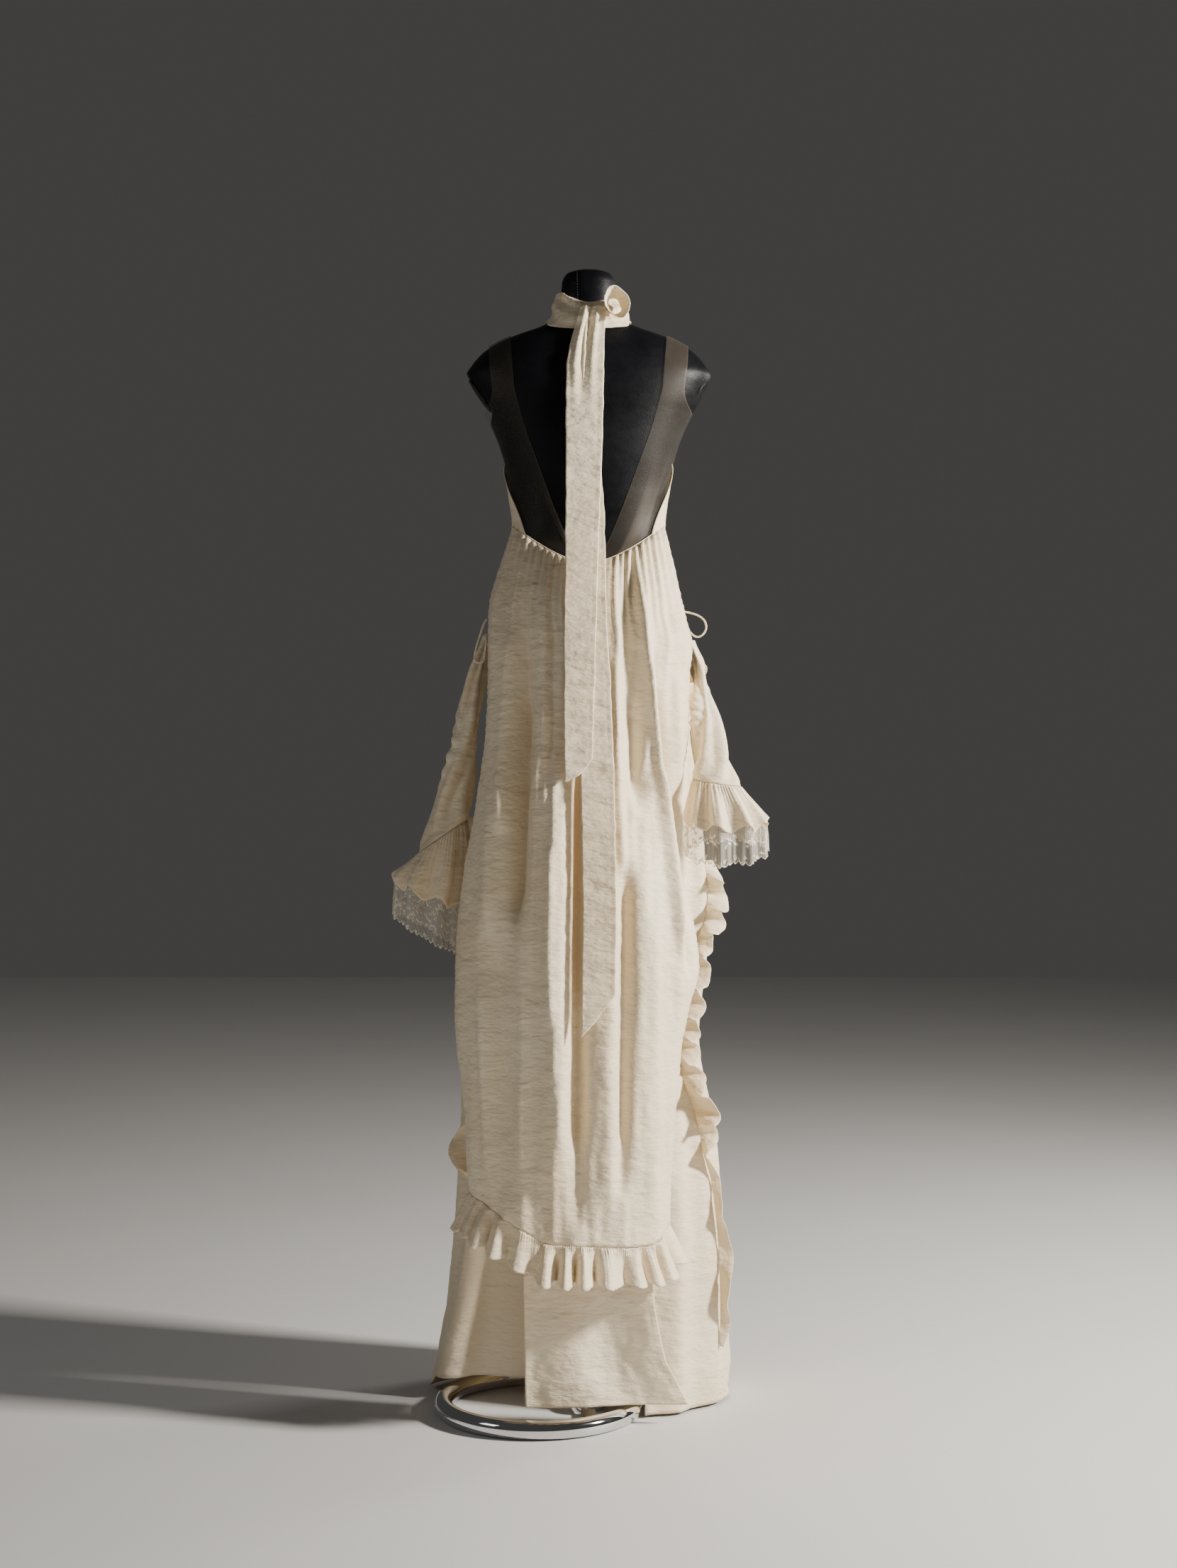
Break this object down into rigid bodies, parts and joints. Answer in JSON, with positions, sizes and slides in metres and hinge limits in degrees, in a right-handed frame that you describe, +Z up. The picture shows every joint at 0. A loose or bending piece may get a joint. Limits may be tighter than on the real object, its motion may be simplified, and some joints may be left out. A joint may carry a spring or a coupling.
{
  "type": "dress on a dress form",
  "caption": "Long cream halter dress with a sheer V back, gathered back panel, frilled hem and lace-edged hanging sleeves, on a limbless black dress form with a chrome ring stand.",
  "frame": {"origin": "on the floor at the foot of the form's pole", "axes": "+Z up, -Y out of the back of the dress, +X to the right when the back is looked at"},
  "size_m": [0.6126, 0.4756, 1.864],
  "materials": {
    "crepe": "crinkled, soft sheen",
    "mesh": "sheer net",
    "lace": "leaf lace on fine net",
    "leather": "smooth, stitched",
    "chrome": "polished"
  },
  "bodies": {
    "root": {"form_torso": "leather", "arm_plate_left": "leather", "arm_plate_right": "leather", "stand_base": "chrome", "stand_pole": "chrome", "neck_band": "crepe", "neck_loop": "crepe", "tie_tail_upper": "crepe", "tie_tail_lower": "crepe", "mesh_yoke_left": "mesh", "mesh_yoke_right": "mesh", "bodice_front": "crepe", "back_skirt": "crepe", "back_hem_ruffle": "crepe", "front_skirt": "crepe", "centre_panel": "crepe", "sleeve_left": "crepe", "sleeve_right": "crepe", "cuff_left": "crepe", "cuff_right": "crepe", "lace_left": "lace", "lace_right": "lace", "cascade_right": "crepe", "cascade_left": "crepe", "side_frill_right": "crepe", "cord_left": "crepe", "cord_right": "crepe"}
  },
  "joints": []
}
